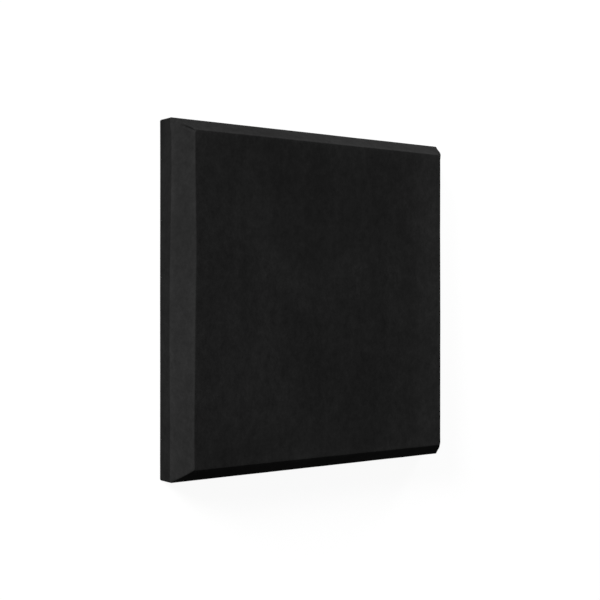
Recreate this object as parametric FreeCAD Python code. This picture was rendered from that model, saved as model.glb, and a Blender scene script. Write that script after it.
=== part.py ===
import FreeCAD, Part
import math
import os

# A square acoustic wall panel: a stiff board of mineral fibre with bevelled front edges, wrapped in one piece of
# brushed fabric that is drawn tight over its front and sides and glued down as a hem on its back.
# Lengths are in millimetres. The panel lies on its back: X is its width, Y its height on the wall, +Z its front.
# The origin is the middle of the back, on the plane of the hem, which is what touches the wall.

# Finished sizes, over the fabric
PANEL_WIDTH = 600.0
PANEL_HEIGHT = 600.0
SIDE_DEPTH = 33.5  # the straight side, from the wall to the bevel
BEVEL_PROJECTION = 38.5  # how far the bevel carries the face forward of the side
BEVEL_INSET = 24.0  # how far the face stands in from the side

# Edges of the bare board, which the fabric rounds further by its own thickness
CORNER_RADIUS = 1.5  # the four upright corners and the mitres above them, seen from the front
FACE_EDGE_RADIUS = 1.0  # between the bevel and the face
SIDE_EDGE_RADIUS = 1.0  # between the side and the bevel
BACK_EDGE_RADIUS = 1.0  # between the side and the back

# The fabric wrap
FABRIC_THICKNESS = 1.2
HEM_WIDTH = 48.0  # how far the fabric runs in over the back
HEM_MITRE_GAP = 1.0  # the slit between two hem flaps at a back corner

CORNERS = ((1, 1), (-1, 1), (-1, -1), (1, -1))
QUARTER_TURN = 90
UP = FreeCAD.Vector(0, 0, 1)
PLANE_TOLERANCE = 1e-4

bevel_slope = math.atan2(BEVEL_INSET, BEVEL_PROJECTION)


def rounded_rectangle(width, height, radius, z):
    """A wire with straight sides and four arcs, centred on the Z axis."""
    arcs = []
    for turn, (side_x, side_y) in enumerate(CORNERS):
        centre = FreeCAD.Vector(side_x * (width / 2 - radius), side_y * (height / 2 - radius), z)
        arcs.append(Part.makeCircle(radius, centre, UP, QUARTER_TURN * turn, QUARTER_TURN * (turn + 1)))
    edges = []
    for arc, next_arc in zip(arcs, arcs[1:] + arcs[:1]):
        start = arc.valueAt(arc.LastParameter)
        end = next_arc.valueAt(next_arc.FirstParameter)
        edges += [arc, Part.makeLine(start, end)]
    return Part.Wire(edges)


def round_off(solid, z, radius):
    """Fillets the ring of edges that lies in one plane."""
    ring = [
        edge
        for edge in solid.Edges
        if abs(edge.BoundBox.ZMin - z) < PLANE_TOLERANCE and abs(edge.BoundBox.ZMax - z) < PLANE_TOLERANCE
    ]
    return solid.makeFillet(radius, ring)


def panel_form(cover):
    """The bevelled block with `cover` of fabric on it: none gives the bare board, all of it the finished outside.

    Each surface moves in square to itself by the fabric that is missing, and the corner between two of them moves
    along both by that distance times the tangent of half the angle between them.
    """
    missing = FABRIC_THICKNESS - cover
    back = missing
    shoulder = SIDE_DEPTH - missing * math.tan(bevel_slope / 2)
    front = SIDE_DEPTH + BEVEL_PROJECTION - missing
    face_setback = BEVEL_INSET + missing * math.tan((math.pi / 2 - bevel_slope) / 2)

    side_sizes = [PANEL_WIDTH - 2 * missing, PANEL_HEIGHT - 2 * missing]
    face_sizes = [PANEL_WIDTH - 2 * face_setback, PANEL_HEIGHT - 2 * face_setback]
    corner = CORNER_RADIUS + cover

    sides = Part.Face(rounded_rectangle(*side_sizes, corner, back)).extrude(UP * (shoulder - back))
    shoulder_outline = rounded_rectangle(*side_sizes, corner, shoulder)
    face_outline = rounded_rectangle(*face_sizes, corner, front)
    bevels = Part.makeLoft([shoulder_outline, face_outline], True, True)

    form = sides.fuse(bevels).removeSplitter()
    form = round_off(form, shoulder, SIDE_EDGE_RADIUS + cover)
    form = round_off(form, front, FACE_EDGE_RADIUS + cover)
    return round_off(form, back, BACK_EDGE_RADIUS + cover).Solids[0]


def hem_window():
    """What the wrap leaves open on the back: a square, and a slit along each mitre out to the corner's arc."""
    width = PANEL_WIDTH - 2 * HEM_WIDTH
    height = PANEL_HEIGHT - 2 * HEM_WIDTH
    window = Part.makeBox(width, height, FABRIC_THICKNESS, FreeCAD.Vector(-width / 2, -height / 2, 0))
    outer_radius = CORNER_RADIUS + FABRIC_THICKNESS
    for side_x, side_y in CORNERS:
        flap_corner = FreeCAD.Vector(side_x * width / 2, side_y * height / 2, 0)
        run = (HEM_WIDTH - outer_radius) * math.sqrt(2)
        slit = Part.makeBox(
            run + HEM_MITRE_GAP,
            HEM_MITRE_GAP,
            FABRIC_THICKNESS,
            FreeCAD.Vector(-HEM_MITRE_GAP, -HEM_MITRE_GAP / 2, 0),
        )
        slit.rotate(FreeCAD.Vector(), UP, math.degrees(math.atan2(side_y, side_x)))
        slit.translate(flap_corner)
        window = window.fuse(slit)
    return window


board = panel_form(0)
wrap = panel_form(FABRIC_THICKNESS).cut(board).cut(hem_window()).Solids[0]

os.makedirs("parts", exist_ok=True)
board.exportStep("parts/core_board.step")
wrap.exportStep("parts/fabric_cover.step")
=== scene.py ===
import math

import bpy
from mathutils import Matrix, Vector


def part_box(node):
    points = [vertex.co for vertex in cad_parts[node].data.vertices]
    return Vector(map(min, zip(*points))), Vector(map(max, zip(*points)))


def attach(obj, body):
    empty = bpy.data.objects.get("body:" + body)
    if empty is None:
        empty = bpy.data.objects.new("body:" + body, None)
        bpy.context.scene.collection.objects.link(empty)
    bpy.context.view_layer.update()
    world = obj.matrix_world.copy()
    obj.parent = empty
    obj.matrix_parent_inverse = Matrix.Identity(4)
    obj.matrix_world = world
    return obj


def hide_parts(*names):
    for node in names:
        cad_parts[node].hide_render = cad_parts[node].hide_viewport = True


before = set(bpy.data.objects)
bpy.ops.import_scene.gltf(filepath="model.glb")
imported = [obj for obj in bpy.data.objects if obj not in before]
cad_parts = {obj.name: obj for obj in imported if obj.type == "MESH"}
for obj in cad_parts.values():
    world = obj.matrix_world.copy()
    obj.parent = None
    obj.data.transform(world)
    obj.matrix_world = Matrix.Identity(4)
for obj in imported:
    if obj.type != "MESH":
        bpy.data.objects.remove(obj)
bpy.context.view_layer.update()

# The stiff board
# One slab of pressed glass wool, sawn square, whose four front edges are planed to bevels that meet in
# mitres. The fabric is glued over all of it but the middle of its back, a fibrous felt inside the hem.
panel_low, panel_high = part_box("fabric_cover")
board_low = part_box("core_board")[0]
FABRIC_THICKNESS = board_low.z - panel_low.z
HEM_WIDTH = 0.048
# Lengths are in metres, over the fabric. Left and right are the panel's sides, top and bottom its ends.
PANEL_FORM = {
    "Width": panel_high.x - panel_low.x,
    "Height": panel_high.y - panel_low.y,
    "Depth": panel_high.z - panel_low.z,
    "Side depth": 0.0345,
    "Side bevel inset": 0.0257,
    "End bevel inset": 0.0224,
    "Corner radius": 0.0015 + FABRIC_THICKNESS,
    "Face edge radius": 0.001 + FABRIC_THICKNESS,
    "Shoulder radius": 0.001 + FABRIC_THICKNESS,
    "Back edge radius": 0.001 + FABRIC_THICKNESS,
    "Hem width": HEM_WIDTH,
    # Rows of mesh follow the section, from a band on the face outwards, and keep within their spacing.
    "Face band": 0.014,
    "Row spacing": 0.005,
    # A hand-planed edge strays from its straight line by up to about a sixth of its wander, either way.
    "Side wander": 0.0122,
    "End wander": 0.0015,
    "Shoulder wander": 0.0188,
    # The shoulder lies higher on the sides than on the ends, but comes down over a calm end to each corner.
    "Side shoulder rise": 0.0016,
    "Calm end": 0.035,
    # The spare fabric at a mitre swells, and is folded under a lip with a crease beside it.
    "Corner bulk": 0.0017,
    "Bulk reach": 0.014,
    "Lip distance": 0.005,
    "Lip rise": 0.0005,
    "Crease width": 0.0055,
    "Crease depth": 0.0036,
}
# The rows along a side, and what share of their even spacing is left next to a corner
ROWS_ALONG = 128
CLOSEST_ROWS = 0.09
FILLET_STEPS = 4
# Places closer than this, and rows this near to a corner, count as touching.
HAIRBREADTH = 0.0002
# Waves to the metre, and a seed, for each thing that varies slowly over the panel
SIDE_WAVES, SIDE_SEED = 3.0, 1444.0
END_WAVES, END_SEED = 4.0, 7.0
SHOULDER_WAVES, SHOULDER_SEED = 2.5, 186.0
SWELL_WAVES, SWELL_SEED = 9.0, 21.0
SLACK_WAVES, SLACK_SEED = 42.0, 5.0
HEM_WAVES, HEM_SEED = 11.0, 3.0
FELT_WAVES, FELT_SEED = 95.0, 61.0
# The hem's edge strays, and the hem follows it only past this share of its width.
HEM_CALM = 0.7
# Two hem flaps part by the mitre gap. Each moves by this share of it along X and along Y, which is half of
# the gap square to the mitre, and the fabric beside it gives way too, out to so many gaps.
GAP_SHIFT = 1 / math.sqrt(8)
GAP_REACH = 4.0


class Thread:
    """One output of a node. Arithmetic on it adds the Math nodes that work the result out."""

    def __init__(self, tree, socket=None):
        self.tree = tree
        self.socket = socket

    def node(self, kind, settings=None, sockets=None, output=0):
        """Adds any other node, makes its settings first, then gives its sockets their values or links."""
        made = self.tree.nodes.new(kind)
        for name, value in (settings or {}).items():
            if name == "stops":
                set_stops(made.color_ramp, value)
            elif name == "choices":
                set_choices(made, value)
            elif name == "captures":
                made.capture_items.new(value, "Value")
            else:
                setattr(made, name, value)
        for name, value in (sockets or {}).items():
            if isinstance(value, Thread):
                self.tree.links.new(value.socket, made.inputs[name])
            else:
                made.inputs[name].default_value = value
        return Thread(self.tree, made.outputs[output] if len(made.outputs) else None)

    def out(self, name):
        """Another output of the same node."""
        return Thread(self.tree, self.socket.node.outputs[name])

    def maths(self, operation, *others):
        """A Math node that works on this value, and on others where its operation takes them."""
        return self.node("ShaderNodeMath", {"operation": operation}, dict(enumerate((self, *others))))

    def __add__(self, other):
        return self.maths("ADD", other)

    def __sub__(self, other):
        return self.maths("SUBTRACT", other)

    def __rsub__(self, other):
        return self.node("ShaderNodeMath", {"operation": "SUBTRACT"}, {0: other, 1: self})

    def __mul__(self, other):
        return self.maths("MULTIPLY", other)

    def __truediv__(self, other):
        return self.maths("DIVIDE", other)

    def __neg__(self):
        return self.maths("MULTIPLY", -1)

    def __abs__(self):
        return self.maths("ABSOLUTE")

    def __lt__(self, other):
        return self.maths("LESS_THAN", other)

    def __gt__(self, other):
        return self.maths("GREATER_THAN", other)

    def at_most(self, other):
        return self.maths("MINIMUM", other)

    def at_least(self, other):
        return self.maths("MAXIMUM", other)

    __radd__ = __add__
    __rmul__ = __mul__


def set_stops(ramp, stops):
    """Gives a colour ramp its stops, each a place and a colour."""
    while len(ramp.elements) < len(stops):
        ramp.elements.new(1.0)
    for element, (place, colour) in zip(ramp.elements, stops):
        element.position = place
        element.color = (*colour, 1)


def set_choices(switch, count):
    """Gives an index switch as many sockets as there are things to choose from."""
    while len(switch.index_switch_items) < count:
        switch.index_switch_items.new()


def choose(index, kind, values):
    """A field with one value for each index."""
    sockets = {0: index, **dict(enumerate(values, start=1))}
    return index.node("GeometryNodeIndexSwitch", {"data_type": kind, "choices": len(values)}, sockets)


def point(x, y, z):
    """A vector of three values, of which at least one is a thread."""
    thread = next(value for value in (x, y, z) if isinstance(value, Thread))
    return thread.node("ShaderNodeCombineXYZ", {}, {"X": x, "Y": y, "Z": z})


def noise(place, scale, seed, detail=2.0, roughness=0.5):
    """An even mottle about 0.5, with so many blots to the metre."""
    sockets = {"Vector": place, "W": seed, "Scale": scale, "Detail": detail, "Roughness": roughness}
    return place.node("ShaderNodeTexNoise", {"noise_dimensions": "4D"}, sockets)


def wander(place, waves, seed):
    """A slow, smooth field about 0, with so many waves to the metre."""
    return noise(place, waves, seed, detail=1.0) - 0.5


def step(value, low, high):
    """Rises smoothly from 0 to 1 as the value goes from low to high."""
    sockets = {"Value": value, "From Min": low, "From Max": high}
    return value.node("ShaderNodeMapRange", {"interpolation_type": "SMOOTHSTEP"}, sockets)


def new_tree(name, sizes, others):
    """An empty Geometry Nodes tree with an input for each size and each other thing, and their threads."""
    tree = bpy.data.node_groups.new(name, "GeometryNodeTree")
    tree.is_modifier = True
    tree.interface.new_socket("Form", in_out="OUTPUT", socket_type="NodeSocketGeometry")
    for input_name, kind in {**dict.fromkeys(sizes, "NodeSocketFloat"), **others}.items():
        tree.interface.new_socket(input_name, in_out="INPUT", socket_type=kind)
    inputs = tree.nodes.new("NodeGroupInput")
    return tree, {given: Thread(tree, inputs.outputs[given]) for given in (*sizes, *others)}


def end_tree(form, finish):
    """Makes the form one mesh, gives it its material and hands it on as the tree's result."""
    whole = form.node("GeometryNodeRealizeInstances", {}, {"Geometry": form})
    finished = whole.node("GeometryNodeSetMaterial", {}, {"Geometry": whole, "Material": finish})
    finished.node("NodeGroupOutput", {}, {0: finished})


def grow(name, tree, inputs):
    """Runs a tree with its inputs and keeps the result as a plain mesh in an object of that name."""
    host = bpy.data.objects.new(name, bpy.data.meshes.new(name))
    bpy.context.scene.collection.objects.link(host)
    modifier = host.modifiers.new(name, "NODES")
    modifier.node_group = tree
    for item in tree.interface.items_tree:
        if item.in_out == "INPUT":
            modifier[item.identifier] = inputs[item.name]
    graph = bpy.context.evaluated_depsgraph_get()
    mesh = bpy.data.meshes.new_from_object(host.evaluated_get(graph))
    host.modifiers.remove(modifier)
    host.data = mesh
    return host


def panel_section(size):
    """A line over the face's edge, down the bevel and side, and in over the back.

    Its X is how far it stands out of the side's plane, and its Z is its height.
    """
    index = size["Width"].node("GeometryNodeInputIndex")
    inset = (size["Side bevel inset"] + size["End bevel inset"]) * 0.5
    corners = [
        point(-inset - size["Face band"], 0, size["Depth"]),
        point(-inset, 0, size["Depth"]),
        point(0, 0, size["Side depth"]),
        (0, 0, 0),
        point(-size["Hem width"], 0, 0),
    ]
    radii = [0.0, size["Face edge radius"], size["Shoulder radius"], size["Back edge radius"], 0.0]
    line = index.node("GeometryNodeMeshLine", {}, {"Count": len(corners)})
    places = choose(index, "VECTOR", corners)
    placed = line.node("GeometryNodeSetPosition", {}, {"Geometry": line, "Position": places})
    sharp = placed.node("GeometryNodeMeshToCurve", {}, {"Mesh": placed})
    rounded = sharp.node(
        "GeometryNodeFilletCurve",
        {"mode": "POLY"},
        {"Curve": sharp, "Count": FILLET_STEPS, "Radius": choose(index, "FLOAT", radii)},
    )
    reach = rounded.node("GeometryNodeSplineParameter").out("Length")
    next_reach = reach.node("GeometryNodeFieldAtIndex", {}, {"Index": index + 1, "Value": reach})
    cuts = ((next_reach - reach) / size["Row spacing"]).maths("FLOOR")
    return rounded.node("GeometryNodeSubdivideCurve", {}, {"Curve": rounded, "Cuts": cuts})


# Shares of the way down a mitre over which the spare fabric's bulk and fold start and end
BULK_STARTS, BULK_ENDS = (0.0, 0.2), (0.25, 0.95)
FOLD_STARTS, FOLD_ENDS = (0.0, 0.03), (0.3, 0.6)
# Across the fold, in crease widths from the lip: the lip's foot, its top and the end of its far slope, and
# the crease's floor and far end
FOLD_PLACES = (-2.0, -0.4, 4.0, 0.3, 1.0)
# At the lower corners the spare fabric stands out and dips by this share of what it does at the upper ones.
LOWER_FOLD = 0.4


def tuck(past_corner, drop, size):
    """How far the fabric stands out by a mitre, where its spare width is folded under the next side's.

    It swells round the mitre, rises to the fold's lip just past it, and dips into the crease beside the lip.
    Drop is 0 at the face and 1 at the shoulder. All three fade out before that, as the fabric is pulled flat.
    """
    lip = size["Lip distance"] * drop
    across_fold = (lip + size["Crease width"] * place for place in FOLD_PLACES)
    foot, top, slope_end, crease_floor, crease_end = across_fold
    bulk = 1 - step(abs(past_corner), 0, size["Bulk reach"])
    bulk = bulk * step(drop, *BULK_STARTS) * (1 - step(drop, *BULK_ENDS))
    fold = step(drop, *FOLD_STARTS) * (1 - step(drop, *FOLD_ENDS))
    rise = step(past_corner, foot, top) * (1 - step(past_corner, lip, slope_end))
    dip = step(past_corner, top, crease_floor) * (1 - step(past_corner, crease_floor, crease_end))
    return bulk * size["Corner bulk"] + (rise * size["Lip rise"] - dip * size["Crease depth"]) * fold


def gathered(value):
    """Draws rows that are even from -1 to 1 together towards both ends."""
    rest = 1 - abs(value)
    return (1 - rest * (CLOSEST_ROWS + rest * (1 - CLOSEST_ROWS))) * value.maths("SIGN")


def panel_tree(name, sizes):
    """A tree that makes the panel's form out of a cube of faces.

    The cube's top becomes the face. Each row of its walls becomes one ring of the panel, which takes its
    place from the section, and its bottom becomes the bare back, or is left open.
    """
    tree, size = new_tree(name, sizes, {"Closed back": "NodeSocketBool", "Finish": "NodeSocketMaterial"})

    section = panel_section(size)
    rings = section.node("GeometryNodeAttributeDomainSize", {"component": "CURVE"}, {"Geometry": section})
    cube = rings.node(
        "GeometryNodeMeshCube",
        {},
        {"Size": (2, 2, 2), "Vertices X": ROWS_ALONG + 1, "Vertices Y": ROWS_ALONG + 1, "Vertices Z": rings},
    )
    facing = cube.node("GeometryNodeInputNormal")
    facing_parts = facing.node("ShaderNodeSeparateXYZ", {}, {0: facing})
    faced = cube.node(
        "GeometryNodeCaptureAttribute",
        {"captures": "FLOAT", "domain": "FACE"},
        {"Geometry": cube, "Value": abs(facing_parts.out("X"))},
    )
    on_side_flap = faced.out("Value")
    place = cube.node("GeometryNodeInputPosition")
    kept = faced.node(
        "GeometryNodeCaptureAttribute",
        {"captures": "VECTOR", "domain": "POINT"},
        {"Geometry": faced, "Value": place},
    )
    start = kept.node("ShaderNodeSeparateXYZ", {}, {0: kept.out("Value")})
    x, y, z = start.out("X"), start.out("Y"), start.out("Z")
    points_down = facing_parts.out("Z") < -0.5
    open_back = kept.node(
        "GeometryNodeDeleteGeometry",
        {"domain": "FACE", "mode": "ALL"},
        {"Geometry": kept, "Selection": points_down},
    )
    blank = open_back.node(
        "GeometryNodeSwitch",
        {"input_type": "GEOMETRY"},
        {"Switch": size["Closed back"], "False": open_back, "True": kept},
    )

    # Each ring's distance out of the side's plane, its height, and how far along the section it is
    ring = ((1 - z) * (rings - 1) * 0.5).maths("ROUND")
    ring_place = section.node(
        "GeometryNodeSampleIndex",
        {"data_type": "FLOAT_VECTOR", "domain": "POINT"},
        {"Geometry": section, "Value": place, "Index": ring},
    )
    ring_parts = ring_place.node("ShaderNodeSeparateXYZ", {}, {0: ring_place})
    out, height = ring_parts.out("X"), ring_parts.out("Z")
    section_length = section.node("GeometryNodeSplineParameter").out("Length")
    along = section.node(
        "GeometryNodeSampleIndex",
        {"data_type": "FLOAT", "domain": "POINT"},
        {"Geometry": section, "Value": section_length, "Index": ring},
    )
    flat_on_back = height < HAIRBREADTH
    on_bevel = (height - size["Side depth"]) / (size["Depth"] - size["Side depth"])
    on_bevel = on_bevel.at_least(0).at_most(1)
    by_shoulder = (1 - on_bevel) * (height / size["Side depth"]).at_most(1)
    off_back = (height / size["Back edge radius"]).at_most(1)

    # How far each ring reaches out to the sides and to the ends, with the strays of its hand-planed edges
    half_x, half_y = size["Width"] * 0.5, size["Height"] * 0.5
    across, upward = gathered(x), gathered(y)
    side_x, side_y = x.maths("SIGN"), y.maths("SIGN")
    flat_x, flat_y = across * (half_x + out), upward * (half_y + out)
    flat_place = point(flat_x, flat_y, 0)
    inset_change = (size["Side bevel inset"] - size["End bevel inset"]) * 0.5
    side_stray = wander(point(-half_x, flat_y, 0), SIDE_WAVES, SIDE_SEED) * size["Side wander"] * (x < 0)
    end_stray = wander(point(flat_x, side_y * half_y, 0), END_WAVES, END_SEED) * size["End wander"]
    hem_stray = wander(flat_place, HEM_WAVES, HEM_SEED) * size["Hem wander"]
    hem_stray = hem_stray * flat_on_back * step(-out, size["Hem width"] * HEM_CALM, size["Hem width"])
    reach_x = half_x + out - (side_stray + inset_change) * on_bevel + hem_stray
    reach_y = half_y + out - (end_stray - inset_change) * on_bevel + hem_stray
    from_corner = (1 - abs(across)) * reach_x - (1 - abs(upward)) * reach_y
    shoulder_stray = wander(flat_place, SHOULDER_WAVES, SHOULDER_SEED) * size["Shoulder wander"]
    shoulder_stray = (shoulder_stray + size["Side shoulder rise"]) * step(-from_corner, 0, size["Calm end"])
    height = height + shoulder_stray * by_shoulder

    # The rings are squares with rounded corners.
    radius = (size["Corner radius"] + out * flat_on_back).at_least(0)
    inner_x = (abs(across) * reach_x).at_most(reach_x - radius)
    inner_y = (abs(upward) * reach_y).at_most(reach_y - radius)
    over_x, over_y = abs(across) * reach_x - inner_x, abs(upward) * reach_y - inner_y
    rounding = over_x.at_least(over_y) / (over_x * over_x + over_y * over_y).maths("SQRT")
    spot = point(side_x * (inner_x + over_x * rounding), side_y * (inner_y + over_y * rounding), height)
    wrapped = blank.node("GeometryNodeSetPosition", {}, {"Geometry": blank, "Position": spot})

    # The hem is slit along each mitre, and its flaps part.
    by_mitre = (abs(x) > 1 - HAIRBREADTH) * (abs(y) > 1 - HAIRBREADTH)
    mitre = by_mitre * flat_on_back * (size["Mitre gap"] > 0)
    slit = wrapped.node("GeometryNodeSplitEdges", {}, {"Mesh": wrapped, "Selection": mitre})
    beside_mitre = flat_on_back * (1 - abs(from_corner) / (size["Mitre gap"] * GAP_REACH)).at_least(0)
    shift = (on_side_flap * 2 - 1) * size["Mitre gap"] * GAP_SHIFT * beside_mitre
    parting = point(shift * side_x, -shift * side_y, 0)
    parted = slit.node("GeometryNodeSetPosition", {}, {"Geometry": slit, "Offset": parting})

    # The surface stands out or in along its normal. A fold lies past its corner on the same hand all round.
    swell = wander(place, SWELL_WAVES, SWELL_SEED) * size["Swell"]
    slack = wander(place, SLACK_WAVES, SLACK_SEED) * size["Slack"]
    outward = parted.node("GeometryNodeInputNormal")
    past_corner = from_corner * (1 - (x * y < 0) * 2)
    bare_back = (abs(x).at_least(abs(y)) < 1 - HAIRBREADTH) * (z < 0)
    felt = wander(place, FELT_WAVES, FELT_SEED) * size["Felt"] * bare_back
    folded = tuck(past_corner, 1 - on_bevel, size) * (LOWER_FOLD + (y > 0) * (1 - LOWER_FOLD))
    stand = (swell + slack) * off_back + felt + folded - size["Sunk"]
    offset = outward.node("ShaderNodeVectorMath", {"operation": "SCALE"}, {0: outward, "Scale": stand})
    swollen = parted.node("GeometryNodeSetPosition", {}, {"Geometry": parted, "Offset": offset})

    # The cloth's own places, in metres as it lay flat before it was folded over the edges
    flat_reach = along - size["Side bevel inset"] - size["Face band"]
    cloth_place = point(across * (half_x + flat_reach), upward * (half_y + flat_reach), 0)
    mapped = swollen.node(
        "GeometryNodeStoreNamedAttribute",
        {"data_type": "FLOAT2", "domain": "CORNER"},
        {"Geometry": swollen, "Name": "cloth", "Value": cloth_place},
    )
    smooth = mapped.node("GeometryNodeSetShadeSmooth", {}, {"Geometry": mapped, "Shade Smooth": True})
    end_tree(smooth, size["Finish"])
    return tree


def new_finish(name):
    """An empty material and a thread to build its nodes from."""
    finish = bpy.data.materials.new(name)
    finish.use_nodes = True
    finish.node_tree.nodes.clear()
    return finish, Thread(finish.node_tree)


def give_looks(thread, looks):
    """Ends a material in one shader with these looks."""
    shader = thread.node("ShaderNodeBsdfPrincipled", {}, looks)
    thread.node("ShaderNodeOutputMaterial", {}, {"Surface": shader})


def turned_place(place, angle, stretch):
    """The place turned about Z, and then drawn out so many times along its own X."""
    sockets = {"Vector": place, "Rotation": (0, 0, angle), "Scale": (stretch, 1, 1)}
    return place.node("ShaderNodeMapping", {"vector_type": "TEXTURE"}, sockets)


# The wool's ochre is the phenolic resin that binds its clear fibres, thick in some places and thin in others.
WOOL_THIN_RESIN = (0.78, 0.66, 0.38)
WOOL_RESIN = (0.58, 0.42, 0.16)
WOOL_DARK_RESIN = (0.36, 0.23, 0.07)
WOOL_STOPS = ((0.15, WOOL_DARK_RESIN), (0.5, WOOL_RESIN), (0.95, WOOL_THIN_RESIN))
# The fibres lie in the board's surface in these directions, in radians, each with a seed of its own.
FIBRE_LAYERS = ((0.2, 2.0), (0.75, 7.5), (1.3, 13.0), (1.9, 19.0), (2.4, 24.0), (2.9, 29.0))
FIBRE_STRETCH = 9.0
FIBRES_TO_THE_METRE = 420.0
FIBRE_DETAIL = 1.0
FIBRE_THINNESS = 16.0
CLUMPS_TO_THE_METRE, CLUMP_SEED = 55.0, 8.3
CLUMP_DETAIL, CLUMP_ROUGHNESS = 4.0, 0.65
# How thin the resin looks on the whole, and how much the fibres and the clumps change it
MEAN_THINNESS, FIBRE_SHARE, CLUMP_SHARE = 0.42, 0.34, 1.5
FIBRE_HEIGHT = 0.5
WOOL_RELIEF = {"Strength": 0.6, "Distance": 0.001}
WOOL_ROUGHNESS, CLUMPED_ROUGHNESS = 0.75, 0.2
wool, t = new_finish("glass_wool")
place = t.node("ShaderNodeTexCoord").out("Object")
fibres = 0
for angle, seed in FIBRE_LAYERS:
    along_fibre = noise(turned_place(place, angle, FIBRE_STRETCH), FIBRES_TO_THE_METRE, seed, FIBRE_DETAIL)
    fibres = (1 - abs(along_fibre - 0.5) * FIBRE_THINNESS).at_least(fibres)
clumps = noise(place, CLUMPS_TO_THE_METRE, CLUMP_SEED, CLUMP_DETAIL, CLUMP_ROUGHNESS)
thinness = fibres * FIBRE_SHARE + (clumps - 0.5) * CLUMP_SHARE + MEAN_THINNESS
wool_height = fibres * FIBRE_HEIGHT + clumps
give_looks(t, {
    "Base Color": thinness.node("ShaderNodeValToRGB", {"stops": WOOL_STOPS}, {0: thinness}),
    "Roughness": WOOL_ROUGHNESS + clumps * CLUMPED_ROUGHNESS,
    "Normal": wool_height.node("ShaderNodeBump", {}, {**WOOL_RELIEF, "Height": wool_height}),
    "Specular IOR Level": 0.3,
})

# The bare board lies under the fabric by its thickness. It has a felted back and no cloth's slack or hem, and
# its creases are so many times as deep, to keep it under the fabric's.
DEEPER_CREASE = 1.3
BARE_BOARD = {
    "Sunk": FABRIC_THICKNESS,
    "Crease depth": PANEL_FORM["Crease depth"] * DEEPER_CREASE,
    "Felt": 0.0011,
    "Mitre gap": 0.0,
    "Hem wander": 0.0,
    "Swell": 0.0,
    "Slack": 0.0,
}
form_tree = panel_tree("panel form", {**PANEL_FORM, **BARE_BOARD})
board_inputs = {**PANEL_FORM, **BARE_BOARD, "Closed back": True, "Finish": wool}
board = grow("glass_wool_board", form_tree, board_inputs)
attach(board, "root")
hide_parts("core_board")

# Loose strands
# Short fibres of the glass wool that have come free of the resin, and lie tangled on the board's bare back.
# They stay within the recess that the hem's thickness leaves there.
STRAND_POINTS, STRAND_SIDES, STRAND_SEED = 10, 3, 17
# Waves to the metre in which the strands are bent, and their seed
STRAND_BENDS, BEND_SEED = 130.0, 2.0
SHORTEST_SHARE = 0.3
# A strand's middle is this share of its thickness off the board, so that it sinks in a little.
LIFTED_SHARE = 0.35
# The middles of the strands keep this margin from the hem, so that their ends don't reach it.
STRAND_MARGIN = 0.012
LOOSE_STRANDS = {
    "Spread X": panel_high.x - HEM_WIDTH - STRAND_MARGIN,
    "Spread Y": panel_high.y - HEM_WIDTH - STRAND_MARGIN,
    "Strands to the square metre": 5000.0,
    "Longest": 0.02,
    "Thickness": 0.00026,
    "Bend": 0.006,
}


def strand_tree(name, sizes):
    """Strews short bent fibres over the underside of an object, each lying on its surface."""
    tree, size = new_tree(name, sizes, {"Lies on": "NodeSocketObject", "Finish": "NodeSocketMaterial"})

    spread = size["Spread X"].node(
        "GeometryNodeMeshGrid",
        {},
        {"Size X": size["Spread X"] * 2, "Size Y": size["Spread Y"] * 2, "Vertices X": 2, "Vertices Y": 2},
    )
    middles = spread.node(
        "GeometryNodeDistributePointsOnFaces",
        {},
        {"Mesh": spread, "Density": size["Strands to the square metre"], "Seed": STRAND_SEED},
    )
    half = size["Longest"] * 0.5
    ends = {"Start": point(-half, 0, 0), "End": point(half, 0, 0)}
    line = half.node("GeometryNodeCurvePrimitiveLine", {}, ends)
    fibre = line.node("GeometryNodeResampleCurve", {}, {"Curve": line, "Count": STRAND_POINTS})
    any_turn = {"Max": math.tau, "Seed": STRAND_SEED}
    turns = fibre.node("FunctionNodeRandomValue", {}, any_turn, output=1)
    any_length = {"Min": SHORTEST_SHARE, "Max": 1.0, "Seed": STRAND_SEED + 1}
    lengths = fibre.node("FunctionNodeRandomValue", {}, any_length, output=1)
    laid = middles.node(
        "GeometryNodeInstanceOnPoints",
        {},
        {"Points": middles, "Instance": fibre, "Rotation": point(0, 0, turns), "Scale": point(lengths, 1, 1)},
    )
    loose = laid.node("GeometryNodeRealizeInstances", {}, {"Geometry": laid})
    place = loose.node("GeometryNodeInputPosition")
    bend_x = wander(place, STRAND_BENDS, BEND_SEED) * size["Bend"]
    bend_y = wander(place, STRAND_BENDS, BEND_SEED + 1) * size["Bend"]
    bent = loose.node("GeometryNodeSetPosition", {}, {"Geometry": loose, "Offset": point(bend_x, bend_y, 0)})
    below = bent.node("GeometryNodeObjectInfo", {}, {"Object": size["Lies on"]})
    found = bent.node(
        "GeometryNodeRaycast",
        {},
        {"Target Geometry": below.out("Geometry"), "Source Position": place, "Ray Direction": (0, 0, 1)},
    )
    surface = found.out("Hit Position")
    lift = point(0, 0, size["Thickness"] * LIFTED_SHARE)
    seat = surface.node("ShaderNodeVectorMath", {"operation": "SUBTRACT"}, {0: surface, 1: lift})
    seated = bent.node("GeometryNodeSetPosition", {}, {"Geometry": bent, "Position": seat})
    girth = {"Resolution": STRAND_SIDES, "Radius": size["Thickness"] * 0.5}
    round_line = seated.node("GeometryNodeCurvePrimitiveCircle", {}, girth)
    tubes = seated.node(
        "GeometryNodeCurveToMesh", {}, {"Curve": seated, "Profile Curve": round_line, "Fill Caps": True}
    )
    end_tree(tubes, size["Finish"])
    return tree


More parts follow.
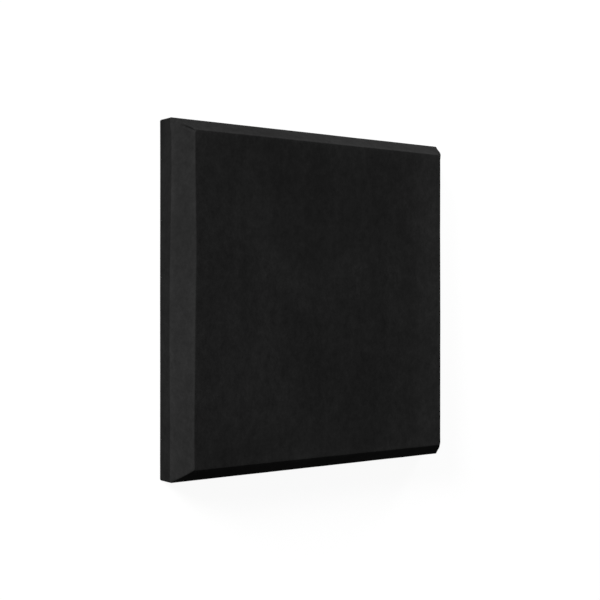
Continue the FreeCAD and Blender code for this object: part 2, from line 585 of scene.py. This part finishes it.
# A strand is nearly white where its glass is bare, and ochre where drops of the resin cling to it.
BARE_GLASS = (0.86, 0.8, 0.6)
WET_GLASS = (0.68, 0.53, 0.24)
DROPS_TO_THE_METRE, DROP_SEED = 240.0, 5.2
DROP_EDGES = (0.4, 0.6)
GLASS_STOPS = ((0.0, BARE_GLASS), (1.0, WET_GLASS))
BARE_ROUGHNESS, WET_ROUGHNESS = 0.35, 0.6
fibre_glass, t = new_finish("glass_fibre")
drops = step(noise(t.node("ShaderNodeTexCoord").out("Object"), DROPS_TO_THE_METRE, DROP_SEED), *DROP_EDGES)
give_looks(t, {
    "Base Color": drops.node("ShaderNodeValToRGB", {"stops": GLASS_STOPS}, {0: drops}),
    "Roughness": BARE_ROUGHNESS + drops * (WET_ROUGHNESS - BARE_ROUGHNESS),
    "Specular IOR Level": 0.4,
})
strand_form = strand_tree("loose strands", LOOSE_STRANDS)
strand_inputs = {**LOOSE_STRANDS, "Lies on": board, "Finish": fibre_glass}
strands = grow("loose_strands", strand_form, strand_inputs)
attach(strands, "root")
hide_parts("core_board")

# The fabric
# One square of black brushed fabric with a short nap, cut away at its corners, drawn tight over the board's
# face, bevels and sides, and glued down on the back as a hem whose flaps meet in mitres.
FABRIC_FOLDS = {
    "Sunk": 0.0,
    "Felt": 0.0,
    "Mitre gap": 0.001,
    "Hem wander": 0.0016,
    "Swell": 0.0007,
    "Slack": 0.0003,
}
FABRIC_GREY = 0.0135
# Each layer of the mottle, from wide clouds to single hairs: its blots to the metre, its seed, its detail and
# the detail's roughness, and its strength
MOTTLE = {
    "clouds": (6.0, 507.37, 2.0, 0.5, 0.6),
    "drifts": (24.0, 470.61, 2.0, 0.5, 0.6),
    "patches": (80.0, 31.2, 3.0, 0.55, 0.85),
    "tufts": (230.0, 12.7, 2.0, 0.5, 0.65),
    "nap": (700.0, 4.6, 3.0, 0.65, 0.55),
    "hairs": (2600.0, 8.9, 2.0, 0.6, 0.5),
}
# The mottle is drawn out a little along the panel's height.
FLOW_STRETCH = (1.0, 0.75, 1.0)
# The fabric turns onto the bevel between these places from the face's edge, and onto the side between these
# from the shoulder.
FACE_TURN, SHOULDER_TURN = (-0.001, 0.002), (-0.001, 0.001)
# The bevels are painted lighter, as painted light for the sheen of their raised nap, and lighter still along
# their rims as a painted highlight. The fabric's mottle is calmer from there on.
PAINTED_BEVEL_LIGHT = 1.305
BEVEL_CALM = 0.25
PAINTED_RIM_HIGHLIGHT, RIM_HIGHLIGHT_BAND = 1.13, 0.013
# On the face, light is painted in by both ends and by the right side, from the first place to the second.
PAINTED_END_LIGHT, END_LIGHT_BAND = 1.11, (-0.024, 0.0)
PAINTED_SIDE_LIGHT, SIDE_LIGHT_BAND = 1.13, (-0.075, -0.05)
# Off the face, the fold's shade is painted below each upper corner, where the fabric was pulled round by
# hand.
PAINTED_FOLD_SHADE, FOLD_SHADE_BAND = 0.91, (0.03, 0.06)
# The face is painted lighter towards its sides and darker towards its ends, the top more so, as slow shading.
SLOW_SIDE_LIGHT, SLOW_END_SHADE, SLOW_TOP_SHADE = 1.5, 1.3, 0.29
NAP_RELIEF = {"Strength": 0.35, "Distance": 0.0006}
PATCH_HEIGHT, HAIR_HEIGHT = 0.5, 0.5
FABRIC_ROUGHNESS, PATCH_ROUGHNESS = 0.8, 0.2


def changed(mask, share):
    """1 where the mask is 0, and the share where it is 1."""
    return 1 + mask * (share - 1)


suede, t = new_finish("brushed_fabric")
cloth = t.node("ShaderNodeUVMap", {"uv_map": "cloth"})
flow = cloth.node("ShaderNodeMapping", {}, {"Vector": cloth, "Scale": FLOW_STRETCH})
mottle = 1
layers = {}
for layer, (blots, seed, detail, roughness, strength) in MOTTLE.items():
    layers[layer] = noise(flow, blots, seed, detail, roughness)
    mottle = mottle * (1 + (layers[layer] - 0.5) * strength)
cloth_parts = cloth.node("ShaderNodeSeparateXYZ", {}, {0: cloth})
cloth_x, cloth_y = cloth_parts.out("X"), cloth_parts.out("Y")
face_edge = PANEL_FORM["Width"] / 2 - PANEL_FORM["Side bevel inset"]
bevel_run = math.hypot(PANEL_FORM["Side bevel inset"], PANEL_FORM["Depth"] - PANEL_FORM["Side depth"])
past_edge = abs(cloth_x).at_least(abs(cloth_y)) - face_edge
past_face = step(past_edge, *FACE_TURN)
past_bevel = step(past_edge - bevel_run, *SHOULDER_TURN)
on_face = 1 - past_face
# Painted highlight along both rims of each bevel
rim_highlight_mask = 1 - step(past_edge.at_most(bevel_run - past_edge), 0, RIM_HIGHLIGHT_BAND)
# Painted light on the face by both ends
end_light_mask = step(abs(cloth_y) - face_edge, *END_LIGHT_BAND) * on_face
# Painted light on the face by its right side
side_light_mask = step(cloth_x - face_edge, *SIDE_LIGHT_BAND) * on_face
below_mitre = abs(cloth_x) - abs(cloth_y)
# Painted shade off the face below each upper corner, beside the fold
fold_shade_mask = (1 - step(below_mitre, *FOLD_SHADE_BAND)) * (below_mitre > 0) * (cloth_y > 0) * past_face
# Painted slow shading over the face: lighter towards its sides, darker towards its ends and top
slow_painted_shading = cloth_x * cloth_x * SLOW_SIDE_LIGHT - cloth_y * cloth_y * SLOW_END_SHADE - cloth_y * SLOW_TOP_SHADE
# The fabric's grey: its mottle, painted light on the bevels and face, and painted shade below the upper
# corners
grey = (
    (1 + (mottle - 1) * (1 - past_face * BEVEL_CALM))
    * (1 + slow_painted_shading * on_face)
    * changed(past_face * (1 - past_bevel), PAINTED_BEVEL_LIGHT * changed(rim_highlight_mask, PAINTED_RIM_HIGHLIGHT))
    * changed(fold_shade_mask, PAINTED_FOLD_SHADE)
    * changed(end_light_mask, PAINTED_END_LIGHT)
    * changed(side_light_mask, PAINTED_SIDE_LIGHT)
    * FABRIC_GREY
)
nap_height = layers["nap"] + layers["patches"] * PATCH_HEIGHT + layers["hairs"] * HAIR_HEIGHT
give_looks(t, {
    "Base Color": grey.node("ShaderNodeCombineColor", {}, {"Red": grey, "Green": grey, "Blue": grey}),
    "Roughness": FABRIC_ROUGHNESS + layers["patches"] * PATCH_ROUGHNESS,
    "Normal": nap_height.node("ShaderNodeBump", {}, {**NAP_RELIEF, "Height": nap_height}),
    "Specular IOR Level": 0.0,
    "Sheen Weight": 0.004,
    "Sheen Roughness": 0.5,
})
# The tree makes the fabric's outside, and its thickness goes inwards from there.
wrap_inputs = {**PANEL_FORM, **FABRIC_FOLDS, "Closed back": False, "Finish": suede}
wrap = grow("stretched_fabric", form_tree, wrap_inputs)
thicken = wrap.modifiers.new("thickness", "SOLIDIFY")
thicken.thickness = FABRIC_THICKNESS
thicken.offset = -1
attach(wrap, "root")
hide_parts("fabric_cover")

# The floor, the light and the camera
# A level floor and a studio that both look white, one large lamp far off to the left, and a small one near on
# the right. The camera stands where the photograph's perspective puts it, square to the panel's height.
FLOOR_REACH = 12.0
FLOOR_CORNERS = [(x * FLOOR_REACH, y * FLOOR_REACH, 0) for x, y in ((-1, -1), (1, -1), (1, 1), (-1, 1))]
FLOOR_GLOW = 0.93
FLOOR_GREY = (0.12, 0.12, 0.12, 1)
DARK_FLOOR_GREY = (0.05, 0.05, 0.05, 1)
STUDIO_LIGHT = 0.18
WHITE = (1, 1, 1, 1)


def picture_rays(thread):
    """1 for the rays that show the background in the picture or in a gloss, and 0 for those that light."""
    kind = thread.node("ShaderNodeLightPath")
    mirrored = kind.out("Is Glossy Ray").at_least(kind.out("Is Transmission Ray"))
    return kind.out("Is Camera Ray").at_least(mirrored)


floor = bpy.data.objects.new("floor", bpy.data.meshes.new("floor"))
floor.data.from_pydata(FLOOR_CORNERS, [], [(0, 1, 2, 3)])
bpy.context.scene.collection.objects.link(floor)
pale, t = new_finish("pale_floor")
unlit = t.node("ShaderNodeBsdfDiffuse", {}, {"Color": DARK_FLOOR_GREY})
shadowed = t.node("ShaderNodeBsdfDiffuse", {}, {"Color": FLOOR_GREY})
glow = t.node("ShaderNodeEmission", {}, {"Color": WHITE, "Strength": FLOOR_GLOW})
lit = t.node("ShaderNodeAddShader", {}, {0: shadowed, 1: glow})
mix = t.node("ShaderNodeMixShader", {}, {0: picture_rays(t), 1: unlit, 2: lit})
t.node("ShaderNodeOutputMaterial", {}, {"Surface": mix})
floor.data.materials.append(pale)

studio = bpy.data.worlds.new("studio")
bpy.context.scene.world = studio
studio.use_nodes = True
studio.node_tree.nodes.clear()
t = Thread(studio.node_tree)
strength = STUDIO_LIGHT + picture_rays(t) * (1 - STUDIO_LIGHT)
sky = t.node("ShaderNodeBackground", {}, {"Color": WHITE, "Strength": strength})
t.node("ShaderNodeOutputWorld", {}, {"Surface": sky})


def soft_lamp(name, direction, distance, side, power):
    """A square lamp that faces the panel's middle."""
    lamp = bpy.data.lights.new(name, "AREA")
    lamp.size = side
    lamp.energy = power
    holder = bpy.data.objects.new(name, lamp)
    holder.location = Vector(direction).normalized() * distance
    holder.rotation_euler = holder.location.to_track_quat("Z", "Y").to_euler()
    bpy.context.scene.collection.objects.link(holder)


soft_lamp("left lamp", direction=(-0.77, 0.54, 0.344), distance=12.0, side=4.0, power=2119.0)
soft_lamp("right lamp", direction=(0.79, 0.58, 0.183), distance=1.64, side=0.5, power=22.4)

# The lens and the horizon are in pixels of the picture, which is square.
PICTURE_SIDE = 600
LENS = 1133.2
HORIZON = 300.12
CAMERA_PLACE = Vector((-1.2441, 0, 1.6476))
VIEW_TILT = math.radians(36.878)
camera_data = bpy.data.cameras.new("camera")
camera_data.lens = camera_data.sensor_width * LENS / PICTURE_SIDE
camera_data.shift_y = (HORIZON - PICTURE_SIDE / 2) / PICTURE_SIDE
camera = bpy.data.objects.new("camera", camera_data)
right = Vector((math.cos(VIEW_TILT), 0, math.sin(VIEW_TILT)))
up = Vector((0, 1, 0))
turn = Matrix((right, up, right.cross(up))).transposed()
camera.matrix_world = Matrix.LocRotScale(CAMERA_PLACE, turn.to_quaternion(), None)
bpy.context.scene.collection.objects.link(camera)
bpy.context.scene.camera = camera

bpy.context.scene.view_settings.view_transform = "Standard"
